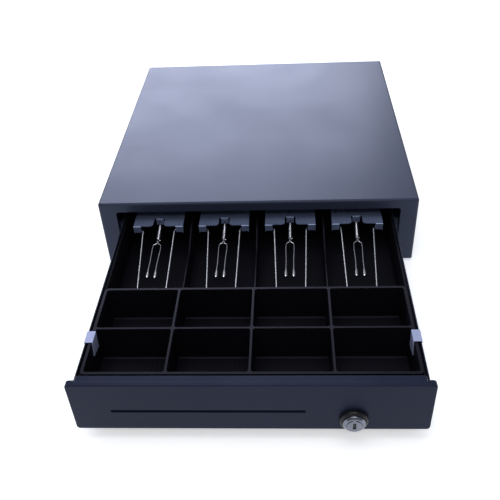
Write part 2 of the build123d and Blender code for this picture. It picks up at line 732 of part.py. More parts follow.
def bill_fork(c):
    """Hairpin wire with two spoon tips that presses the bills down."""
    tilt = radians(FORK_SLOPE)
    plane = Plane(origin=(c, *neck), x_dir=(1, 0, 0), z_dir=(0, sin(tilt), -cos(tilt)))
    start = Vector(c, *neck)
    inside = start + Vector(0, cos(spring_tilt), sin(spring_tilt)) * SHANK_IN
    fork = rod(start, inside, SPRING_BORE_R - SHANK_FIT) + Pos(*start) * Sphere(SPRING_BORE_R)
    for s in (-1, 1):
        bends = [FORK_SHOULDER, FORK_WIDEST, (FORK_TIP_HALF_W, FORK_L - TIP_L)]
        path = plane * FilletPolyline((0, 0), *[(s * x, v) for x, v in bends], radius=FORK_BEND_R)
        fork += sweep(Plane(origin=path @ 0, z_dir=path % 0) * Circle(FORK_WIRE_R), path=path)
        tip_at = plane * Pos(s * FORK_TIP_HALF_W, FORK_L - TIP_L / 2 - PAST, -TIP_T / 2) * Rot(0, 0, 90)
        fork += extrude(tip_at * SlotOverall(TIP_L, TIP_W), TIP_T)
    return fork


def bracket_rivets():
    rivets = []
    for x, y in rivet_places:
        shank = rod((x, y, ledge_low - RIVET_HEAD_H), (x, y, plate_top + RIVET_HEAD_H), RIVET_R)
        head = rod((x, y, plate_top), (x, y, plate_top + RIVET_HEAD_H), RIVET_HEAD_R)
        tail = rod((x, y, ledge_low - RIVET_HEAD_H), (x, y, ledge_low), RIVET_TAIL_R)
        rivets.append(shank + head + tail)
    return rivets


def tray_clip():
    """Right-hand sheet clip over the drawer's side, with a slanted tongue inside the coin tray."""
    top = box_top + TRAY_CLIP_T
    outer = box_half + TRAY_CLIP_T
    inner = coin_half - COIN_RIM_W - END_GAP - TRAY_CLIP_T
    y = (coin_front + TRAY_CLIP_BACK, coin_front + TRAY_CLIP_BACK + TRAY_CLIP_L)
    clip = block((inner, outer), y, (box_top, top))
    clip += block((box_half, outer), y, (box_top - TRAY_CLIP_LIP, top))
    low = box_top - TRAY_CLIP_TONGUE
    rake = TRAY_CLIP_RAKE
    tongue = [(y[0], top), (y[0] - rake, low + rake), (y[1] - rake / 2, low), (y[1], top)]
    return clip + outline_yz(tongue, (inner, inner + TRAY_CLIP_T))


# Front lock ---------------------------------------------------------------------------------------


def at_lock(start, end, radius):
    """A round form on the lock's axis between two Y values."""
    return rod((LOCK_X, start, lock_z), (LOCK_X, end, lock_z), radius)


def lock_bezel():
    front = panel_front - BEZEL_D
    ring = at_lock(front, panel_front, BEZEL_R)
    ring = chamfer(edges_at(ring, Y=front), BEZEL_CHAMFER)
    return ring - at_lock(front, panel_front, BARREL_R + HOLE_CLEARANCE)


def lock_body():
    """Chromed barrel with a bevelled front ring."""
    front = lock_front + PLUG_PROUD
    ring = at_lock(front, panel_front - BEZEL_D, RING_R)
    ring = chamfer(edges_at(ring, Y=front), BEZEL_CHAMFER)
    body = ring + at_lock(front + PAST, barrel_end, BARREL_R)
    return body - at_lock(front - PAST, barrel_end, PLUG_R + PLUG_CLEARANCE)


def lock_nut():
    face = Plane.XZ.offset(-panel_back - BOX_SHEET) * Pos(LOCK_X, lock_z)
    nut = extrude(face * RegularPolygon(NUT_AF / 2, 6, major_radius=False), -NUT_T)
    return nut - at_lock(panel_back, till_front, BARREL_R + HOLE_CLEARANCE)


def lock_square(y, half):
    """A square bar on the lock's axis."""
    return block((LOCK_X - half, LOCK_X + half), y, (lock_z - half, lock_z + half))


def lock_plug():
    """Turning plug with an upright key slot and a square tail for the cam."""
    plug = at_lock(lock_front, barrel_end, PLUG_R)
    plug = chamfer(edges_at(plug, Y=lock_front), PLUG_CHAMFER)
    plug += lock_square((barrel_end - PAST, cam_y[1]), PLUG_TAIL / 2)
    w, h = KEY_W / 2, KEY_H / 2
    key_y = (lock_front - PAST, lock_front + KEY_D)
    return plug - block((LOCK_X - w, LOCK_X + w), key_y, (lock_z - h, lock_z + h))


def lock_cam():
    """Cam on the plug's tail, pointing to the right while the lock is on standby."""
    w = CAM_W / 2
    cam = block((LOCK_X - w, LOCK_X + CAM_L), cam_y, (lock_z - w, lock_z + w)) + at_lock(*cam_y, CAM_EYE_R)
    return cam - lock_square((cam_y[0] - PAST, cam_y[1] + PAST), PLUG_TAIL / 2 + SHANK_FIT)


def cam_screw():
    return at_lock(cam_y[1], cam_y[1] + SCREW_HEAD_H, CAM_SCREW_R)


def lock_keeper():
    """Upright lip on the base that the lowered cam catches behind."""
    face_y = cam_y[0] + travel - CAM_T - CAM_CATCH
    x = (LOCK_X - CAM_W, LOCK_X + CAM_W)
    keeper = block(x, (face_y - RAIL_SHEET, face_y + CAM_T / 2), (base_top, base_top + KEEPER_H))
    return keeper + block(x, (face_y - KEEPER_H, face_y), (base_top, base_top + RAIL_SHEET))


# Latch, solenoid, ejector and socket --------------------------------------------------------------

pivot_x = LATCH_X - PIVOT_SIDE
pivot_y = closed_back + PIVOT_BACK
platform_top = PLATFORM_Z + RAIL_SHEET
platform_x = (pivot_x - PLATFORM_LEFT, SOLENOID_X + SOLENOID_L + PLATFORM_RIGHT)
solenoid_y = pivot_y + TAIL_L
solenoid_z = LATCH_Z + LATCH_T / 2


def strike():
    """Bracket on the drawer's rear wall that holds an upright pin for the latch."""
    x = (LATCH_X - STRIKE_HALF_W, LATCH_X + STRIKE_HALF_W)
    gap = (LATCH_Z - STRIKE_GAP, LATCH_Z + LATCH_T + STRIKE_GAP)
    z = (gap[0] - STRIKE_SHEET, gap[1] + STRIKE_SHEET)
    pin_y = box_back + STRIKE_REACH
    part = block(x, (box_back, pin_y + STRIKE_END), z)
    part -= block(x, (box_back + STRIKE_SHEET, pin_y + STRIKE_END + PAST), gap)
    return part + rod((LATCH_X, pin_y, z[0]), (LATCH_X, pin_y, z[1]), STRIKE_PIN_R)


def on_pivot(low, high, radius):
    """A round form on the latch's pivot axis between two heights."""
    return rod((pivot_x, pivot_y, low), (pivot_x, pivot_y, high), radius)


def latch_lever():
    """Flat lever: a hook in front of its pivot and a slotted tail behind it."""
    lever_z = (LATCH_Z, LATCH_Z + LATCH_T)
    hook_back = closed_back + STRIKE_REACH - STRIKE_PIN_R - LATCH_HOOK_GAP
    hook_front = hook_back - LATCH_HOOK_L
    left, right, tip = LATCH_X + LATCH_ARM[0], LATCH_X + LATCH_ARM[1], LATCH_X + LATCH_TIP
    points = [(left, pivot_y), (left, hook_front), (right, hook_front), (tip, hook_back - LATCH_TIP_T),
              (tip, hook_back), (right, hook_back), (right, pivot_y)]
    tail_y = pivot_y + TAIL_L
    lever = outline_xy(points, lever_z)
    lever += block((pivot_x - TAIL_HALF_W, pivot_x + TAIL_HALF_W), (pivot_y, tail_y + TAIL_END), lever_z)
    lever += on_pivot(*lever_z, PIVOT_BOSS_R)
    lever -= on_pivot(0, HOUSING_TOP, PIVOT_R + HOLE_CLEARANCE)
    w, h = TAIL_SLOT
    return lever - block((pivot_x - w, pivot_x + w), (tail_y - h, tail_y + h), (0, HOUSING_TOP))


def latch_pivot():
    """Shouldered post with a retaining clip above the lever."""
    clip_low = LATCH_Z + LATCH_T + RUN_CLEARANCE
    post = on_pivot(platform_top, LATCH_Z - RUN_CLEARANCE, PIVOT_SHOULDER_R)
    post += on_pivot(platform_top, LATCH_Z + LATCH_T + PIVOT_TOP, PIVOT_R)
    return post + on_pivot(clip_low, clip_low + PIVOT_CLIP_T, PIVOT_CLIP_R)


def latch_spring():
    """Torsion spring round the post's shoulder, drawn as a sleeve with one leg under the lever."""
    low, high = platform_top + LATCH_COIL_RISE, LATCH_Z - HOLE_CLEARANCE
    bore = LATCH_COIL_R - LATCH_COIL_WIRE
    leg_x, leg_z = pivot_x + LATCH_LEG_X, high - LATCH_LEG_R - HOLE_CLEARANCE
    leg = rod((leg_x, pivot_y, leg_z), (leg_x, pivot_y - LATCH_LEG_L, leg_z), LATCH_LEG_R)
    return on_pivot(low, high, LATCH_COIL_R) + leg - on_pivot(low - PAST, high + PAST, bore)


def latch_platform():
    """Raised plate on the base that carries the latch post and the solenoid."""
    t = RAIL_SHEET
    y = (pivot_y - PLATFORM_FRONT, pivot_y + PLATFORM_BACK)
    part = block(platform_x, y, (PLATFORM_Z, platform_top))
    for wall in ((y[0], y[0] + t), (y[1] - t, y[1])):
        part += block(platform_x, wall, (base_top, platform_top))
    return part + block(platform_x, (y[0] - PLATFORM_FOOT, y[0] + t), (base_top, base_top + t))


def on_plunger(start, end, radius):
    """A round form on the plunger's axis between two X values."""
    return rod((start, solenoid_y, solenoid_z), (end, solenoid_y, solenoid_z), radius)


def solenoid_frame():
    """Steel U frame round the coil."""
    t = SOLENOID_SHEET
    y = (solenoid_y - SOLENOID_HALF_W, solenoid_y + SOLENOID_HALF_W)
    left, right = SOLENOID_X, SOLENOID_X + SOLENOID_L
    frame = block((left, right), y, (platform_top, platform_top + t))
    for x in ((left, left + t), (right - t, right)):
        frame += block(x, y, (platform_top, solenoid_z + SOLENOID_HALF_W))
    return frame - on_plunger(left - PAST, right + PAST, PLUNGER_R + PLUNGER_GAP)


def solenoid_coil():
    left, right = SOLENOID_X + SOLENOID_SHEET, SOLENOID_X + SOLENOID_L - SOLENOID_SHEET
    radius = solenoid_z - platform_top - SOLENOID_SHEET
    return on_plunger(left, right, radius) - on_plunger(left, right, PLUNGER_R + PLUNGER_GAP)


def solenoid_plunger():
    """Iron plunger with a forked end and a cross pin in the lever's slot."""
    w, h = PLUNGER_HALF_W, PLUNGER_HALF_H
    start, end = pivot_x - w, pivot_x + PLUNGER_HEAD
    fork = block((start, end), (solenoid_y - w, solenoid_y + w), (solenoid_z - h, solenoid_z + h))
    gap = LATCH_T / 2 + PLUNGER_FORK_GAP
    open_y = (solenoid_y - w - PAST, solenoid_y + w + PAST)
    fork -= block((start - PAST, end - 2 * PAST), open_y, (solenoid_z - gap, solenoid_z + gap))
    fork += rod((pivot_x, solenoid_y, solenoid_z - h), (pivot_x, solenoid_y, solenoid_z + h), PLUNGER_PIN_R)
    return fork + on_plunger(end - PAST, SOLENOID_X + SOLENOID_L - PLUNGER_HEAD, PLUNGER_R)


def on_ejector(start, end, radius):
    """A round form on the ejector's axis between two Y values."""
    return rod((EJECTOR_X, start, EJECTOR_Z), (EJECTOR_X, end, EJECTOR_Z), radius)


def ejector_guide():
    """Flanged rod on the rear panel that the ejector spring sits on."""
    flange = on_ejector(rear_inside - SHEET, rear_inside, EJECTOR_R + EJECTOR_FLANGE)
    return flange + on_ejector(closed_back + EJECTOR_ROD_GAP, rear_inside, EJECTOR_ROD_R)


def ejector_spring():
    """Compression spring that pushes the unlatched drawer out, at its length with the drawer shut."""
    start, end = closed_back + END_GAP, rear_inside - SHEET
    return on_ejector(start, end, EJECTOR_R) - on_ejector(start, end, EJECTOR_R - EJECTOR_WIRE)


def rear_socket():
    """Modular socket for the printer's lead, open to the back."""
    w, h = SOCKET_W / 2, SOCKET_H / 2
    ear, inner, key = w + SOCKET_EAR, w - SOCKET_WALL, SOCKET_KEY_HALF_W
    low, high = SOCKET_Z - h, SOCKET_Z + h
    deep = (HOUSING_D - SOCKET_D + SOCKET_BACK, HOUSING_D + PAST)
    shell = block((SOCKET_X - w, SOCKET_X + w), (HOUSING_D - SOCKET_D, HOUSING_D), (low, high))
    shell += block((SOCKET_X - ear, SOCKET_X + ear), (rear_inside - SOCKET_WALL, rear_inside), (low, high))
    shell -= block((SOCKET_X - inner, SOCKET_X + inner), deep, (low + SOCKET_SILL, high - SOCKET_WALL))
    key_z = (low + SOCKET_KEY_FLOOR, low + SOCKET_SILL + PAST)
    return shell - block((SOCKET_X - key, SOCKET_X + key), deep, key_z)


# Assembly -----------------------------------------------------------------------------------------

origin_y = (lock_front + HOUSING_D + SCREW_HEAD_H) / 2


def build():
    """Every node by name; a list of solids is one node of identical pieces."""
    nodes = {
        "housing_cover": housing_cover(),
        "base_plate": base_plate(),
        "rear_panel": rear_panel(),
        "rear_screws": rear_screws(),
        "foot_screws": foot_screws(),
        "rail_screws": rail_screws(),
        "drawer_box": drawer_box(),
        "front_panel": front_panel(),
        "money_till": money_till(),
        "bill_dividers": [bill_divider(x) for x in divider_places],
        "coin_tray": coin_tray(),
        "bracket_rivets": bracket_rivets(),
        "lock_bezel": lock_bezel(),
        "lock_body": lock_body(),
        "lock_nut": lock_nut(),
        "lock_plug": lock_plug(),
        "lock_cam": lock_cam(),
        "cam_screw": cam_screw(),
        "lock_keeper": lock_keeper(),
        "strike": strike(),
        "latch_lever": latch_lever(),
        "latch_pivot": latch_pivot(),
        "latch_spring": latch_spring(),
        "latch_platform": latch_platform(),
        "solenoid_frame": solenoid_frame(),
        "solenoid_coil": solenoid_coil(),
        "solenoid_plunger": solenoid_plunger(),
        "ejector_guide": ejector_guide(),
        "ejector_spring": ejector_spring(),
        "rear_socket": rear_socket(),
    }
    for name, (x, y) in foot_places.items():
        nodes[name] = foot(x, y)
    paired = {
        "housing_rail": housing_rail(),
        "drawer_runner": drawer_runner(),
        "front_roller": roller(FRONT_ROLLER_Y, front_roller_z),
        "rear_roller": roller(rear_roller_y, rear_roller_z),
        "tray_clip": tray_clip(),
    }
    for name, shape in paired.items():
        nodes[f"{name}_right"], nodes[f"{name}_left"] = both_sides(shape)
    for number, c in enumerate(bay_centres, start=1):
        nodes[f"bill_bracket_{number}"] = bill_bracket(c)
        nodes[f"bill_bail_{number}"] = bill_bail(c)
        nodes[f"bill_spring_{number}"] = bill_spring(c)
        nodes[f"bill_fork_{number}"] = bill_fork(c)
    return nodes


def write(nodes):
    os.makedirs("parts", exist_ok=True)
    for name, shape in nodes.items():
        solids = shape if isinstance(shape, list) else [shape]
        moved = [Pos(0, -origin_y, 0) * solid for solid in solids]
        export_step(Compound(children=moved) if len(moved) > 1 else moved[0], f"parts/{name}.step")


write(build())
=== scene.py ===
# %% [markdown]
# # A cash drawer with its till pulled out
# The engineering model is loaded first, as a fixed frame in metres: every housing panel, rail, roller
# and clip is already in place. Blender's work is the look: finishes for what keeps its shape, and
# finer pieces where the plain solid is too coarse, such as coil springs and bent wire. The frame's
# box is kept.

# %% Load the frame
import bmesh
import bpy
import json
from math import cos, degrees, pi, radians, sin, tan
from mathutils import Matrix, Vector

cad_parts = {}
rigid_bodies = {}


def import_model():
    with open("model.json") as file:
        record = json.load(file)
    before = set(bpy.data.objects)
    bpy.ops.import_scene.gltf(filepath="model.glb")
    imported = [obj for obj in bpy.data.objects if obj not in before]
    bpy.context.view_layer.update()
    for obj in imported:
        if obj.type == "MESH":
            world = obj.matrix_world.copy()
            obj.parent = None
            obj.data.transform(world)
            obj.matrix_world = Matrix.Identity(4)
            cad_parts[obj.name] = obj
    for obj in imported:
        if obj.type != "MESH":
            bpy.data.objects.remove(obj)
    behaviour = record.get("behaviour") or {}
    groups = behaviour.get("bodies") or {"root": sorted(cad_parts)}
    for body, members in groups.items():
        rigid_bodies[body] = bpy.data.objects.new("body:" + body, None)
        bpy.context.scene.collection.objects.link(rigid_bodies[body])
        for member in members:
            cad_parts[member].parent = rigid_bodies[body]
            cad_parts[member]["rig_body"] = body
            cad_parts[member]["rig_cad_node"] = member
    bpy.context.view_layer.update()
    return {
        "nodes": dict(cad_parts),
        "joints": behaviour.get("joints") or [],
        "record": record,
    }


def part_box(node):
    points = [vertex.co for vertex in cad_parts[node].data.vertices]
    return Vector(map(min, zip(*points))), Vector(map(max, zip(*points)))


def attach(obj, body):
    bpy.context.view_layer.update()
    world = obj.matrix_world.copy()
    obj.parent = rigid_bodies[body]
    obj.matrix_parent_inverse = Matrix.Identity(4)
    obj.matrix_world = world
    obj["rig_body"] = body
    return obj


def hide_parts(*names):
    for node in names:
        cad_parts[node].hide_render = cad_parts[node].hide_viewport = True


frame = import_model()
nodes = frame["nodes"]
body_of_node = {n: b for b, names in frame["record"]["behaviour"]["bodies"].items() for n in names}
slot_of_node = {row["node"]: row["material_slot"] for row in frame["record"]["subparts"]}
joint_at = {j["name"]: Vector(j["pos_m"]) for j in frame["joints"] if "pos_m" in j}
mm = 0.001
bays = range(1, 5)

# %% [markdown]
# ## Camera
# The drawer is seen as by someone who stands in front of the counter and looks down into the till,
# just off centre, through a normal lens. The place is given from the housing's front edge, so that it
# would follow a drawer of another size. The direction comes from three angles: turn, tilt and a
# slight roll.

# %% Place the camera
front_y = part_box("housing_cover")[0].y
camera_right = 0.0406
camera_before_housing = 0.7015
camera_height = 0.5803
turn = radians(4.25)
tilt = radians(38.43)
roll = radians(3.35)

camera_data = bpy.data.cameras.new("camera")
camera = bpy.data.objects.new("camera", camera_data)
bpy.context.scene.collection.objects.link(camera)
bpy.context.scene.camera = camera
camera_data.sensor_width = 36
camera_data.lens = 48.18
camera_data.clip_start = 0.02
level = Vector((-sin(turn), cos(turn), 0))
looking = cos(tilt) * level - sin(tilt) * Vector((0, 0, 1))
across = Vector((cos(turn), sin(turn), 0))
upward = across.cross(looking)
right_hand = across * cos(roll) - upward * sin(roll)
overhead = across * sin(roll) + upward * cos(roll)
stand = Matrix((right_hand, overhead, -looking)).transposed().to_4x4()
stand.translation = Vector((camera_right, front_y - camera_before_housing, camera_height))
camera.matrix_world = stand
print("camera at", [round(v, 3) for v in camera.location])

# %% [markdown]
# ## Floor and light
# The drawer stands on a plain pale floor. One broad panel stands low behind it, a little to the left,
# and gives the sheen on the housing's top. A second hangs overhead and lights the clips and the
# floor. A narrow strip in front and above gives the wires and the folded edges their bright lines.
# The surroundings are an even pale grey-blue.

# %% Set the floor and the lights
bpy.ops.object.select_all(action="DESELECT")
bpy.ops.mesh.primitive_plane_add(size=12, location=(0, 0, 0))
floor = bpy.context.object
floor.name = "floor"
floor_finish = bpy.data.materials.new("floor_paper")
floor_finish.use_nodes = True
paper = floor_finish.node_tree.nodes["Principled BSDF"]
paper.inputs["Base Color"].default_value = (0.86, 0.87, 0.88, 1)
paper.inputs["Roughness"].default_value = 0.9
paper.inputs["Specular IOR Level"].default_value = 0.1
paper.inputs["Emission Color"].default_value = (1, 1, 1, 1)
paper.inputs["Emission Strength"].default_value = 0.45
floor.data.materials.append(floor_finish)

world = bpy.data.worlds.new("studio")
bpy.context.scene.world = world
world.use_nodes = True
world.node_tree.nodes["Background"].inputs["Color"].default_value = (0.88, 0.92, 1.0, 1)
world.node_tree.nodes["Background"].inputs["Strength"].default_value = 0.35
bpy.context.scene.view_settings.view_transform = "Standard"


def panel_light(name, place, target, size, power, colour=(1, 1, 1)):
    """A soft rectangular light that faces a point."""
    data = bpy.data.lights.new(name, "AREA")
    data.shape = "RECTANGLE"
    data.size, data.size_y = size
    data.energy = power
    data.color = colour
    light = bpy.data.objects.new(name, data)
    bpy.context.scene.collection.objects.link(light)
    light.location = place
    light.rotation_euler = (Vector(target) - Vector(place)).to_track_quat("-Z", "Y").to_euler()
    return light


panel_light("sky_panel", (-0.2, -0.35, 2.3), (0, 0.0, 0), (2.2, 1.6), 26)
cool_white = (0.76, 0.80, 1)
panel_light("sheen_panel", (-0.40, 2.2, 0.95), (0, 0.15, 0.1), (1.8, 1.0), 60, cool_white)
panel_light("edge_strip", (0.1, -1.7, 2.0), (0, -0.05, 0.06), (1.8, 0.35), 11)

# %% [markdown]
# ## Surface effects shared by the finishes
# Paint, mouldings and plated steel differ in colour, but each has the same few effects: a fine grain
# that breaks up the reflection, slow patches where the finish is a little duller, and brushing that
# runs one way. Each effect is one node group with named inputs, so that a finish only chooses how
# large and how strong it is.


# %% Build the effect groups
def new_group(name, inputs, outputs):
    """An empty shader node group with number inputs and outputs."""
    group = bpy.data.node_groups.new(name, "ShaderNodeTree")
    for label, value in inputs:
        if isinstance(value, tuple):
            group.interface.new_socket(label, in_out="INPUT", socket_type="NodeSocketVector")
        else:
            socket = group.interface.new_socket(label, in_out="INPUT", socket_type="NodeSocketFloat")
            socket.default_value = value
    for label in outputs:
        group.interface.new_socket(label, in_out="OUTPUT", socket_type="NodeSocketFloat")
    return group, group.nodes.new("NodeGroupInput"), group.nodes.new("NodeGroupOutput")


def noise(tree, scale=None, detail=2.0, rough=0.5):
    """A noise texture, with its scale fixed unless something else drives it."""
    node = tree.nodes.new("ShaderNodeTexNoise")
    node.inputs["Detail"].default_value = detail
    node.inputs["Roughness"].default_value = rough
    if scale is not None:
        node.inputs["Scale"].default_value = scale
    return node


def map_range(tree, source, low, high, to_low=0.0, to_high=1.0):
    """Spreads a value between two levels, clamped at both ends."""
    node = tree.nodes.new("ShaderNodeMapRange")
    node.inputs["From Min"].default_value = low
    node.inputs["From Max"].default_value = high
    node.inputs["To Min"].default_value = to_low
    node.inputs["To Max"].default_value = to_high
    tree.links.new(source, node.inputs["Value"])
    return node.outputs["Result"]


def grain_group():
    """Fine pebbled skin of powder coat or moulded plastic, as a height."""
    group, given, made = new_group("skin_grain", [("Place", (0, 0, 0)), ("Scale", 1500.0)], ["Height"])
    pebbles = group.nodes.new("ShaderNodeTexVoronoi")
    pebbles.feature = "SMOOTH_F1"
    soft = noise(group, detail=3)
    total = group.nodes.new("ShaderNodeMath")
    total.operation = "MULTIPLY_ADD"
    total.inputs[1].default_value = 0.6
    for texture in (pebbles, soft):
        group.links.new(given.outputs["Place"], texture.inputs["Vector"])
        group.links.new(given.outputs["Scale"], texture.inputs["Scale"])
    group.links.new(pebbles.outputs["Distance"], total.inputs[0])
    group.links.new(soft.outputs["Fac"], total.inputs[2])
    group.links.new(total.outputs[0], made.inputs["Height"])
    return group


def patches_group():
    """Slow patches where the surface has been handled, as a soft mask."""
    group, given, made = new_group("slow_patches", [("Place", (0, 0, 0)), ("Scale", 9.0)], ["Soft"])
    cloud = noise(group, detail=4, rough=0.6)
    group.links.new(given.outputs["Place"], cloud.inputs["Vector"])
    group.links.new(given.outputs["Scale"], cloud.inputs["Scale"])
    group.links.new(map_range(group, cloud.outputs["Fac"], 0.32, 0.68), made.inputs["Soft"])
    return group


def brushing_group():
    """Fine lines that run along one direction, as on rolled and plated sheet."""
    group, given, made = new_group(
        "brushing", [("Place", (0, 0, 0)), ("Stretch", (0, 0, 0))], ["Lines"])
    scaled = group.nodes.new("ShaderNodeVectorMath")
    scaled.operation = "MULTIPLY"
    group.links.new(given.outputs["Place"], scaled.inputs[0])
    group.links.new(given.outputs["Stretch"], scaled.inputs[1])
    lines = noise(group, scale=1.0, detail=3, rough=0.7)
    group.links.new(scaled.outputs[0], lines.inputs["Vector"])
    group.links.new(map_range(group, lines.outputs["Fac"], 0.3, 0.7), made.inputs["Lines"])
    return group


effects = {"grain": grain_group(), "patches": patches_group(), "brushing": brushing_group()}
print("effect groups:", sorted(effects))

# %% [markdown]
# ## Finishes
# A finish is a Principled shader fed by those effects. Colour varies a little between a main and a
# second shade in the slow patches, roughness rises where the surface has been handled, and the grain
# or brushing goes to a Bump node. What is the same all over, such as metal or coat, is set on the
# shader's own sockets.


# %% Write the finishes
def place_effect(tree, name, coordinates, **values):
    """One effect group in a material, reading object coordinates."""
    node = tree.nodes.new("ShaderNodeGroup")
    node.node_tree = effects[name]
    tree.links.new(coordinates, node.inputs["Place"])
    for label, value in values.items():
        node.inputs[label].default_value = value
    return node


def mixed_colour(tree, mask, main, second):
    """A colour between two shades, by a mask."""
    node = tree.nodes.new("ShaderNodeMix")
    node.data_type = "RGBA"
    node.inputs["A"].default_value = (*main, 1)
    node.inputs["B"].default_value = (*second, 1)
    tree.links.new(mask, node.inputs["Factor"])
    return node.outputs["Result"]


finishes = {}
cool_sheen = (0.60, 0.70, 1, 1)
violet_sheen = (0.7, 0.7, 1, 1)


def new_finish(name, main, second, rough, metal=0.0, grain=None, brush=None, bump=0.02, patch=9.0,
               **sockets):
    """Files a material: two shades, a range of roughness, and grain or brushing as relief, in mm."""
    finish = bpy.data.materials.new(name)
    finish.use_nodes = True
    tree = finish.node_tree
    shader = tree.nodes["Principled BSDF"]
    shader.inputs["Metallic"].default_value = metal
    for label, value in sockets.items():
        shader.inputs[label.replace("_", " ")].default_value = value
    coordinates = tree.nodes.new("ShaderNodeTexCoord").outputs["Object"]
    patches = place_effect(tree, "patches", coordinates, Scale=patch)
    tree.links.new(mixed_colour(tree, patches.outputs["Soft"], main, second), shader.inputs["Base Color"])
    tree.links.new(map_range(tree, patches.outputs["Soft"], 0, 1, *rough), shader.inputs["Roughness"])
    relief = tree.nodes.new("ShaderNodeBump")
    relief.inputs["Distance"].default_value = bump * mm
    if brush:
        height = place_effect(tree, "brushing", coordinates, Stretch=brush).outputs["Lines"]
    else:
        height = place_effect(tree, "grain", coordinates, Scale=grain or 1500.0).outputs["Height"]
    tree.links.new(height, relief.inputs["Height"])
    tree.links.new(relief.outputs["Normal"], shader.inputs["Normal"])
    finishes[name] = finish


new_finish("housing_paint", (0.020, 0.025, 0.044), (0.023, 0.029, 0.050), (0.40, 0.46),
           grain=2200.0, bump=0.010, Specular_IOR_Level=0.30, Specular_Tint=cool_sheen)
new_finish("drawer_paint", (0.008, 0.010, 0.017), (0.010, 0.012, 0.021), (0.40, 0.48),
           grain=1800.0, bump=0.012, Specular_IOR_Level=0.2, Specular_Tint=cool_sheen)
new_finish("panel_plastic", (0.010, 0.0135, 0.029), (0.012, 0.016, 0.033), (0.36, 0.42),
           grain=2600.0, bump=0.008, Specular_IOR_Level=0.13, Specular_Tint=cool_sheen)
new_finish("till_plastic", (0.0034, 0.0034, 0.0050), (0.0046, 0.0046, 0.0066), (0.44, 0.54),
           grain=1500.0, bump=0.020, Specular_IOR_Level=0.13, Specular_Tint=violet_sheen)
new_finish("zinc_steel", (0.34, 0.38, 0.56), (0.27, 0.30, 0.46), (0.46, 0.58),
           metal=0.3, brush=(900.0, 60.0, 900.0), bump=0.004, patch=60.0)
new_finish("bracket_steel", (0.17, 0.21, 0.34), (0.14, 0.175, 0.29), (0.24, 0.32),
           metal=0.45, brush=(80.0, 1200.0, 1200.0), bump=0.004, patch=40.0)
new_finish("wire_steel", (0.66, 0.66, 0.72), (0.54, 0.54, 0.60), (0.16, 0.24),
           metal=1.0, brush=(2000.0, 200.0, 200.0), bump=0.002, patch=80.0)
new_finish("lock_chrome", (0.20, 0.21, 0.255), (0.17, 0.18, 0.22), (0.14, 0.22),
           metal=1.0, brush=(900.0, 900.0, 900.0), bump=0.002, patch=90.0)
new_finish("lock_black", (0.006, 0.006, 0.009), (0.009, 0.009, 0.013), (0.28, 0.36),
           grain=2400.0, bump=0.008, patch=50.0, Specular_IOR_Level=0.3)
new_finish("spring_steel", (0.30, 0.30, 0.32), (0.22, 0.21, 0.21), (0.28, 0.38),
           metal=1.0, brush=(700.0, 700.0, 700.0), bump=0.003, patch=60.0)
new_finish("coil_tape", (0.36, 0.17, 0.025), (0.28, 0.12, 0.018), (0.22, 0.34),
           brush=(3800.0, 40.0, 40.0), bump=0.03, patch=70.0, Coat_Weight=0.5, Coat_Roughness=0.1)
new_finish("nylon", (0.70, 0.69, 0.62), (0.62, 0.61, 0.54), (0.42, 0.52),
           grain=1400.0, bump=0.010, patch=70.0,
           Subsurface_Weight=0.1, Subsurface_Radius=(0.001, 0.001, 0.001))
new_finish("rubber", (0.014, 0.014, 0.014), (0.024, 0.023, 0.022), (0.70, 0.85),
           grain=1100.0, bump=0.030, patch=60.0)
new_finish("socket_black", (0.010, 0.010, 0.012), (0.014, 0.014, 0.017), (0.30, 0.40),
           grain=2000.0, bump=0.008, patch=70.0)
for node, piece in nodes.items():
    piece.data.materials.clear()
    piece.data.materials.append(finishes[slot_of_node[node]])
print(len(finishes), "finishes on", len(nodes), "pieces")

# %% [markdown]
# ## Working by hand, in code
# The modelling below uses the tools of edit mode: add a primitive where it belongs, pick faces by
# where they are, extrude, spin and scale them, then finish with a modifier. These helpers keep each
# step to one line, and start with nothing selected, because an operator acts on everything that is
# selected.


# %% Helpers for modelling
def only(piece):
    """Makes a piece the one selected and active object."""
    bpy.ops.object.select_all(action="DESELECT")
    piece.select_set(True)
    bpy.context.view_layer.objects.active = piece
    return piece


def settle(piece):
    """Puts a piece's place into its mesh."""
    only(piece)
    bpy.ops.object.transform_apply(location=True, rotation=True, scale=True)
    return piece


def pick(kind, test):
    """In edit mode, selects just the vertices, edges or faces that pass a test."""
    bpy.ops.mesh.select_mode(type=kind)
    bpy.ops.mesh.select_all(action="DESELECT")
    mesh = bmesh.from_edit_mesh(bpy.context.edit_object.data)
    for item in {"VERT": mesh.verts, "EDGE": mesh.edges, "FACE": mesh.faces}[kind]:
        if test(item):
            item.select_set(True)
    mesh.select_flush_mode()
    bmesh.update_edit_mesh(bpy.context.edit_object.data)


def apply_modifier(piece, kind, **settings):
    """Adds a modifier with its settings and applies it."""
    only(piece)
    modifier = piece.modifiers.new(kind.lower(), kind)
    for label, value in settings.items():
        setattr(modifier, label, value)
    bpy.ops.object.modifier_apply(modifier=modifier.name)
    return piece


def smooth(piece, angle=40):
    """Shades a piece smooth, except where its faces turn by more than an angle in degrees."""
    only(piece)
    bpy.ops.object.shade_smooth_by_angle(angle=radians(angle))
    return piece


def dress(piece, name, node, *also):
    """Names a piece, finishes it like the node it stands for, and lets it ride on that node's body."""
    piece.name = piece.data.name = name
    piece.data.materials.clear()
    piece.data.materials.append(finishes[slot_of_node[node]])
    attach(piece, body_of_node[node])
    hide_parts(node, *also)
    return piece


def copy_to(piece, offset):
    """A copy with its own mesh, moved by an offset that ends up in its mesh."""
    only(piece)
    bpy.ops.object.duplicate(linked=False)
    twin = bpy.context.object
    twin.location = offset
    return settle(twin)


longest_bend_share = 0.48
degrees_per_bend_step = 11


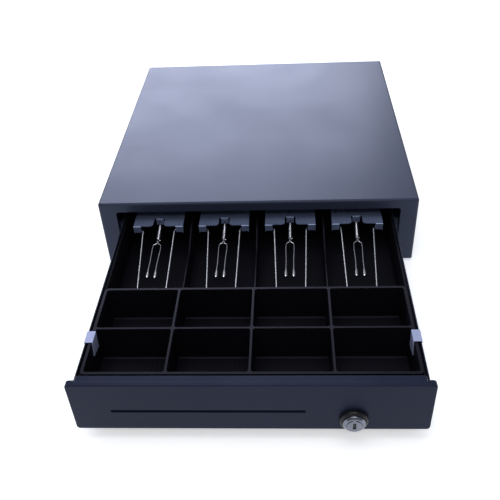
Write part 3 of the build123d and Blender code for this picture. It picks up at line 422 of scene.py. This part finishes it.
def bend_wire(radius, corners, bend, sides=10):
    """Wire through corner points: straight runs are extruded, corners are spun round their own centres."""
    points = [Vector(p) for p in corners]
    heading = (points[1] - points[0]).normalized()
    bpy.ops.object.select_all(action="DESELECT")
    bpy.ops.mesh.primitive_circle_add(vertices=sides, radius=radius, fill_type="NGON", location=points[0],
                                      rotation=heading.to_track_quat("Z", "Y").to_euler())
    piece = settle(bpy.context.object)
    bpy.ops.object.mode_set(mode="EDIT")
    bpy.ops.mesh.select_mode(type="FACE")
    bpy.ops.mesh.select_all(action="SELECT")
    at = points[0]
    for corner, after in zip(points[1:], points[2:] + [None]):
        if after is None:
            bpy.ops.mesh.extrude_region_move(TRANSFORM_OT_translate={"value": corner - at})
            break
        leaving = (after - corner).normalized()
        angle = heading.angle(leaving)
        shorter_run = min((corner - at).length, (after - corner).length)
        share = min(bend * tan(angle / 2), longest_bend_share * shorter_run)
        axis = heading.cross(leaving).normalized()
        start = corner - heading * share
        centre = start + axis.cross(heading) * (share / tan(angle / 2))
        bpy.ops.mesh.extrude_region_move(TRANSFORM_OT_translate={"value": start - at})
        steps = max(2, round(degrees(angle) / degrees_per_bend_step))
        bpy.ops.mesh.spin(steps=steps, angle=-angle, center=centre, axis=axis)
        at, heading = corner + leaving * share, leaving
    return piece


def close_and_turn_out(piece):
    """Back in object mode, with its normals facing outwards."""
    bpy.ops.object.mode_set(mode="EDIT")
    bpy.ops.mesh.select_all(action="SELECT")
    bpy.ops.mesh.remove_doubles(threshold=0.00001)
    bpy.ops.mesh.normals_make_consistent(inside=False)
    bpy.ops.object.mode_set(mode="OBJECT")
    return smooth(piece)


def wind_coil(outer, wire, length, turns, sides=8, steps=14):
    """A helical spring along +Z from the origin: a wire section turned by a Screw modifier, then capped."""
    bpy.ops.object.select_all(action="DESELECT")
    bpy.ops.mesh.primitive_circle_add(vertices=sides, radius=wire, rotation=(pi / 2, 0, 0))
    piece = settle(bpy.context.object)
    bpy.ops.object.mode_set(mode="EDIT")
    bpy.ops.mesh.select_all(action="SELECT")
    bpy.ops.transform.translate(value=(outer - wire, 0, wire))
    bpy.ops.object.mode_set(mode="OBJECT")
    apply_modifier(piece, "SCREW", axis="Z", iterations=turns, screw_offset=(length - 2 * wire) / turns,
                   steps=steps, render_steps=steps)
    bpy.ops.object.mode_set(mode="EDIT")
    bpy.ops.mesh.select_all(action="SELECT")
    bpy.ops.mesh.fill_holes(sides=0)
    bpy.ops.object.mode_set(mode="OBJECT")
    return piece


def point_along(piece, start, direction):
    """Turns a piece made along +Z from the origin to a direction, and moves it to its start."""
    piece.rotation_euler = Vector(direction).to_track_quat("Z", "Y").to_euler()
    piece.location = start
    return settle(piece)


def join(piece, *others):
    """Makes several meshes one piece."""
    only(piece)
    for other in others:
        other.select_set(True)
    bpy.ops.object.join()
    return bpy.context.object


print("helpers ready")

# %% [markdown]
# ## Rounding the folded and moulded edges
# Real sheet metal and mouldings have no knife edges: a fold or a moulded corner is rounded by a few
# tenths of a millimetre, and that is where the thin bright lines on the object come from. Rather than
# remodel shapes that are already right, each one is copied, its loose triangles are merged and flat
# faces dissolved, and a Bevel modifier rounds its sharp edges. The copy then stands for the plain
# node.

# %% Round the edges of the sheet-metal and moulded pieces
seam_gap = 0.000002


def soften(node, width, flat=0.3):
    """A copy of a CAD piece with rounded edges. Faces that turn less than flat degrees are merged."""
    source = nodes[node]
    only(source)
    bpy.ops.object.duplicate(linked=False)
    piece = bpy.context.object
    piece.parent = None
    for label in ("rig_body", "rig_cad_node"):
        if label in piece:
            del piece[label]
    bpy.ops.object.mode_set(mode="EDIT")
    bpy.ops.mesh.select_all(action="SELECT")
    bpy.ops.mesh.remove_doubles(threshold=seam_gap)
    bpy.ops.mesh.dissolve_limited(angle_limit=radians(flat))
    bpy.ops.object.mode_set(mode="OBJECT")
    apply_modifier(piece, "BEVEL", width=width * mm, segments=2, limit_method="ANGLE",
                   angle_limit=radians(35), use_clamp_overlap=True, miter_outer="MITER_ARC")
    smooth(piece, 30)
    apply_modifier(piece, "WEIGHTED_NORMAL", keep_sharp=True)
    return dress(piece, node.replace("_", "-"), node)


softened = {
    "housing_cover": 0.35, "rear_panel": 0.2, "base_plate": 0.25, "drawer_box": 0.35,
    "front_panel": 0.6, "money_till": 0.5, "coin_tray": 0.6, "bill_dividers": 0.5,
    "tray_clip_left": 0.2, "tray_clip_right": 0.2, "lock_bezel": 0.5, "lock_body": 0.4,
    "lock_plug": 0.25, "lock_nut": 0.4, "strike": 0.3, "latch_lever": 0.3,
    "housing_rail_left": 0.3, "housing_rail_right": 0.3, "drawer_runner_left": 0.3,
    "drawer_runner_right": 0.3, "latch_platform": 0.3, "solenoid_frame": 0.3,
    "rear_socket": 0.3, "lock_cam": 0.2, "lock_keeper": 0.2,
}
bracket_rounding = 0.28
for k in bays:
    softened[f"bill_bracket_{k}"] = bracket_rounding
for node, width in softened.items():
    piece = soften(node, width)
    print(piece.name, len(piece.data.polygons), "faces")

# %% [markdown]
# ## Painted shade in the keyway
# Behind the mouth of the keyway sits a small black block: painted shade that stands in for the shade
# deep in the slot. It could be cut into the plug itself, but a block with rounded edges, set back
# inside the slot, can have its own dark finish. It turns with the plug.

# %% Set a block of painted shade into the keyway
low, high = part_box("lock_plug")
keyway = Vector(((low.x + high.x) / 2, low.y, (low.z + high.z) / 2))
keyway_shade_set_back = 7 * mm
keyway_shade_size = (2.9 * mm, 12 * mm, 8.9 * mm)
bpy.ops.object.select_all(action="DESELECT")
keyway_shade_place = keyway + Vector((0, keyway_shade_set_back, 0))
bpy.ops.mesh.primitive_cube_add(size=1, location=keyway_shade_place, scale=keyway_shade_size)
keyway_shade = settle(bpy.context.object)
apply_modifier(keyway_shade, "BEVEL", width=0.2 * mm, segments=2)
keyway_shade.name = keyway_shade.data.name = "keyway-shade-block"
keyway_shade.data.materials.clear()
# The black finish on this block is painted shade deep inside the keyway.
keyway_shade.data.materials.append(finishes["lock_black"])
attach(keyway_shade, body_of_node["lock_plug"])
print("keyway_shade", len(smooth(keyway_shade).data.polygons), "faces")

# %% [markdown]
# ## Bill clips
# Each clip has three pieces of wire. The bail is one thick wire bent into a narrow gate, whose ends
# turn outwards into the bracket's lugs. The fork is a hairpin with flattened tips, hooked into a
# close-wound spring that hangs in the bracket's tab. They could be curves with a round bevel, but a
# section that is extruded and spun keeps straight runs straight and can be flattened at its end. One
# set is made on the middle plane and then copied to each bay. First the solids that the wires stand
# for are measured.

# %% Measure one clip
clip = 2
bail_low, bail_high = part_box(f"bill_bail_{clip}")
bail_pivot = joint_at[f"bail_{clip}_lift"]
hook = joint_at[f"fork_{clip}_lift"]
fork_low, fork_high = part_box(f"bill_fork_{clip}")
spring_low, spring_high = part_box(f"bill_spring_{clip}")
bay_x = {k: joint_at[f"fork_{k}_lift"].x for k in bays}
bail_wire = 1.1 * mm
fork_wire = 0.75 * mm
spring_wire = 0.5 * mm
bar = Vector((0, bail_low.y + bail_wire, bail_low.z + bail_wire))
print("bail reaches", round(bail_pivot.y - bar.y, 4), "fork reaches", round(hook.y - fork_low.y, 4))

# %% [markdown]
# ## Bail
# The bail lies on the bank notes and keeps them flat. Half of it is bent, from the pin in its lug to
# the middle of its bar, and a Mirror modifier makes the other half, so both legs are sure to be
# alike. The pin's end is bevelled.

# %% Bend the bail
middle_gap = 1e-5
weld_gap = 0.00002
pin_x = (bail_high.x - bail_low.x) / 2
leg_x = 20.5 * mm
bar_x = 17.2 * mm
bail_bend = 3.2 * mm
half_gate = [
    (pin_x, bail_pivot.y, bail_pivot.z),
    (leg_x, bail_pivot.y, bail_pivot.z),
    (bar_x, bar.y, bar.z),
    (0, bar.y, bar.z),
]
gate = bend_wire(bail_wire, half_gate, bend=bail_bend, sides=12)
pick("FACE", lambda f: abs(f.calc_center_median().x) < middle_gap)
bpy.ops.mesh.delete(type="FACE")
pick("FACE", lambda f: abs(f.calc_center_median().x - pin_x) < middle_gap)
bpy.ops.mesh.bevel(offset=0.3 * mm, segments=2)
bpy.ops.object.mode_set(mode="OBJECT")
apply_modifier(gate, "MIRROR", use_axis=(True, False, False), merge_threshold=weld_gap)
close_and_turn_out(gate)
print("bail", len(gate.data.polygons), "faces")

# %% [markdown]
# ## Fork
# The fork presses on the notes with two tips hammered flat. Half of the hairpin is bent like the
# bail, and its end is then extruded a little at a time, each time a bit wider and thinner, which is
# how the round wire turns into a tip. A second solid for the tip would leave a seam where they meet.

# %% Bend the fork
spring_slope = radians(21.8)
fork_slope = radians(12.6)
hook_to_neck = 27.4 * mm
drop = Vector((0, -cos(spring_slope), -sin(spring_slope)))
lie = Vector((0, -cos(fork_slope), -sin(fork_slope)))
neck = Vector((0, hook.y, hook.z)) + drop * hook_to_neck


def on_fork(side, along):
    """A point on the hairpin's plane, in millimetres from the neck."""
    return neck + Vector((side * mm, 0, 0)) + lie * along * mm


fork_bend = 3 * mm
tip_side = 4.9
tip_start = 46
half_hairpin = [(0, 1), (1.2, 1), (1.0, 3), (tip_side, 5.5), (5.3, 12), (4.7, 34), (tip_side, tip_start)]
tip_steps = [(3, 1.6, 0.85), (3, 1.3, 0.8), (3.2, 1.0, 0.95), (1.6, 0.75, 0.9), (0.8, 0.45, 0.6)]
hairpin = bend_wire(fork_wire, [on_fork(*point) for point in half_hairpin], bend=fork_bend)
along = tip_start
for reach, wide, thin in tip_steps:
    along += reach
    bpy.ops.mesh.extrude_region_move(TRANSFORM_OT_translate={"value": lie * reach * mm})
    bpy.ops.transform.resize(value=(wide, thin, thin), center_override=on_fork(tip_side, along))
pick("FACE", lambda f: abs(f.calc_center_median().x) < middle_gap)
bpy.ops.mesh.delete(type="FACE")
bpy.ops.object.mode_set(mode="OBJECT")
apply_modifier(hairpin, "MIRROR", use_axis=(True, False, False), merge_threshold=weld_gap)
close_and_turn_out(hairpin)
print("fork", len(hairpin.data.polygons), "faces")

# %% [markdown]
# ## Bill spring
# A close-wound spring joins the fork to the bracket and pulls the fork down on the notes. Its coils
# are a wire section turned by a Screw modifier, which takes the number of turns and the rise as plain
# values. A ring of the same wire at each end is the eye that hooks into the tab or the fork.

# %% Wind the spring, with an eye at each end
def eye(centre, ring, wire_radius):
    """A closed loop of wire in the plane that the fork swings in."""
    bpy.ops.object.select_all(action="DESELECT")
    bpy.ops.mesh.primitive_torus_add(location=centre, rotation=(0, pi / 2, 0), major_segments=28,
                                     minor_segments=8, major_radius=ring, minor_radius=wire_radius)
    return settle(bpy.context.object)


hang = Vector((0, hook.y, hook.z))
coil_radius = 2.8 * mm
coil_length = 22.2 * mm
coil_turns = 15
hook_to_coil = 3.3 * mm
tab_eye = 2.6 * mm
fork_eye = 1.9 * mm
coil = wind_coil(coil_radius, spring_wire, coil_length, coil_turns)
coil = point_along(coil, hang + drop * hook_to_coil, drop)
spring = join(coil, eye(hang, tab_eye, spring_wire), eye(on_fork(0, 0.3), fork_eye, spring_wire))
close_and_turn_out(spring)
print("spring", len(spring.data.polygons), "faces")

# %% [markdown]
# ## Clips in every bay
# The four clips are the same, but a loosely hooked spring rarely hangs quite straight. Each bay gets
# a copy of the three wires with its own mesh, and its spring and fork are turned a degree or so about
# the hook.

# %% Copy the wires to every bay
def swing(piece, pin, lean):
    """Turns a piece about an upright line through a point, as a loosely hooked spring hangs to one side."""
    piece.matrix_world = Matrix.Translation(pin) @ Matrix.Rotation(lean, 4, "Z") @ Matrix.Translation(-pin)
    return settle(piece)


lean_in_bay = {1: -3.0, 2: -2.0, 3: -1.0, 4: 0.0}
for k in bays:
    shift = Vector((bay_x[k], 0, 0))
    dress(copy_to(gate, shift), f"bill-bail-{k}", f"bill_bail_{k}")
    for pattern, name in ((hairpin, "fork"), (spring, "spring")):
        wire = swing(copy_to(pattern, shift), hang + shift, radians(lean_in_bay[k]))
        dress(wire, f"bill-{name}-{k}", f"bill_{name}_{k}")
for pattern in (gate, hairpin, spring):
    bpy.data.objects.remove(pattern)
print("bays at", [round(x, 4) for x in bay_x.values()])

# %% [markdown]
# ## Screws and rivets
# A pan-head screw is a short cylinder with a domed rim and a cross pressed into it, and a rivet is a
# low dome. Their places come from the solids of the nodes they stand for: each node is copied, taken
# apart into its loose solids and measured.

# %% Measure the screws and rivets
def solids_of(node):
    """The lowest and highest corners of each separate solid in a node."""
    only(nodes[node])
    bpy.ops.object.duplicate(linked=False)
    bpy.ops.object.mode_set(mode="EDIT")
    bpy.ops.mesh.select_all(action="SELECT")
    bpy.ops.mesh.remove_doubles(threshold=seam_gap)
    bpy.ops.mesh.separate(type="LOOSE")
    bpy.ops.object.mode_set(mode="OBJECT")
    found = []
    for part in list(bpy.context.selected_objects):
        xs, ys, zs = zip(*(v.co for v in part.data.vertices))
        found.append((Vector((min(xs), min(ys), min(zs))), Vector((max(xs), max(ys), max(zs)))))
        bpy.data.objects.remove(part)
    return found


# %% [markdown]
# ## Screws
# The head's lower face is inset and drawn out into the shank, its upper rim is bevelled into a dome,
# and two thin blocks cut the cross. One pattern is made for each size, and a copy is turned into
# every hole.

# %% Model one screw, head up, and drive a copy into every hole
head_rise = 1.6 * mm


def cross_head(head, rise, shank, length):
    """A pan-head screw whose seat is at the origin and whose head points along +Z."""
    bpy.ops.object.select_all(action="DESELECT")
    bpy.ops.mesh.primitive_cylinder_add(vertices=32, radius=head, depth=rise, location=(0, 0, rise / 2))
    screw = settle(bpy.context.object)
    bpy.ops.object.mode_set(mode="EDIT")
    pick("FACE", lambda f: f.normal.z < -0.9)
    bpy.ops.mesh.inset(thickness=head - shank, depth=0)
    bpy.ops.mesh.extrude_region_move(TRANSFORM_OT_translate={"value": (0, 0, -length)})
    pick("EDGE", lambda e: all(v.co.z > rise * 0.9 for v in e.verts))
    bpy.ops.mesh.bevel(offset=rise * 0.6, segments=4)
    bpy.ops.object.mode_set(mode="OBJECT")
    cutters = []
    for quarter in (0, pi / 2):
        bpy.ops.object.select_all(action="DESELECT")
        bpy.ops.mesh.primitive_cube_add(size=1, location=(0, 0, rise), rotation=(0, 0, quarter),
                                        scale=(head, head * 0.2, rise * 1.2))
        cutters.append(settle(bpy.context.object))
    for cutter in cutters:
        apply_modifier(screw, "BOOLEAN", operation="DIFFERENCE", object=cutter, solver="EXACT")
        bpy.data.objects.remove(cutter)
    return smooth(screw, 35)


def drive_screws(node, axis, name):
    """Puts a screw in place of every solid of a node. The head lies at the axis's positive end."""
    ends = solids_of(node)
    direction = Vector(axis)
    low, high = ends[0]
    size = high - low
    thick = min(size[i] for i in range(3) if abs(direction[i]) < 0.5)
    head, shank = thick / 2, thick / 4
    length = sum(abs(size[i] * direction[i]) for i in range(3))
    pattern = cross_head(head, head_rise, shank, length - head_rise)
    placed = []
    for low, high in ends:
        middle = (low + high) / 2
        seat = middle + direction * (length / 2 - head_rise)
        twin = copy_to(pattern, (0, 0, 0))
        placed.append(point_along(twin, seat, direction))
    bpy.data.objects.remove(pattern)
    return dress(join(*placed), name, node)


for node, axis in (("rear_screws", (0, 1, 0)), ("foot_screws", (0, 0, -1)), ("rail_screws", (0, 0, 1))):
    screws = drive_screws(node, axis, node.replace("_", "-"))
    print(screws.name, len(screws.data.polygons), "faces")

# %% [markdown]
# ## Rivets
# Two rivets hold each bracket. Each is a short cylinder whose upper rim is bevelled into a dome and
# whose lower end is drawn in to the shank. They differ in place only, so a loop makes one at each
# measured solid.

# %% Dome the rivets
rivet_dome = 0.8 * mm
rivets = []
for low, high in solids_of("bracket_rivets"):
    middle = (low + high) / 2
    reach = (high.x - low.x) / 2
    bpy.ops.object.select_all(action="DESELECT")
    bpy.ops.mesh.primitive_cylinder_add(vertices=24, radius=reach, depth=high.z - low.z, location=middle)
    rivet = settle(bpy.context.object)
    bpy.ops.object.mode_set(mode="EDIT")
    pick("EDGE", lambda e: all(v.co.z > high.z - middle_gap for v in e.verts))
    bpy.ops.mesh.bevel(offset=rivet_dome, segments=3)
    pick("FACE", lambda f: f.normal.z < -0.9)
    bpy.ops.transform.resize(value=(0.5, 0.5, 1), center_override=middle)
    bpy.ops.object.mode_set(mode="OBJECT")
    rivets.append(smooth(rivet))
dress(join(*rivets), "bracket-rivets", "bracket_rivets")
print("rivets", len(rivets))

# %% [markdown]
# ## Springs of the latch and the ejector
# These two sit deep in the housing. The ejector's is a plain compression spring over its guide; the
# latch's is wound round its post, with one leg that follows the lever. Both take their size from the
# sleeve they stand for.

# %% Wind the ejector spring and the latch spring
low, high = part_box("ejector_spring")
wide = (high.x - low.x) / 2
ejector_wire = 0.75 * mm
ejector_turns = 30
ejector = wind_coil(wide, ejector_wire, high.y - low.y, ejector_turns, steps=18)
ejector = point_along(ejector, ((low.x + high.x) / 2, low.y, (low.z + high.z) / 2), (0, 1, 0))
dress(close_and_turn_out(ejector), "ejector-spring", "ejector_spring")

low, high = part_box("latch_spring")
post = joint_at["latch_swing"]
latch_wire = 0.6 * mm
latch_turns = 5
latch_leg_start = 6.2 * mm
latch_leg_x = 4 * mm
latch_leg_bend = 9 * mm
turns_of_wire = wind_coil(high.x - post.x, latch_wire, high.z - low.z, latch_turns, steps=18)
turns_of_wire = point_along(turns_of_wire, (post.x, post.y, low.z), (0, 0, 1))
leg_z = high.z - latch_wire
leg_points = [
    (post.x + latch_leg_start, post.y, leg_z),
    (post.x + latch_leg_x, post.y - latch_leg_bend, leg_z),
    (post.x + latch_leg_x, low.y + latch_wire, leg_z),
]
leg = bend_wire(latch_wire, leg_points, bend=6 * mm)
close_and_turn_out(leg)
dress(close_and_turn_out(join(turns_of_wire, leg)), "latch-spring", "latch_spring")
print("springs wound")
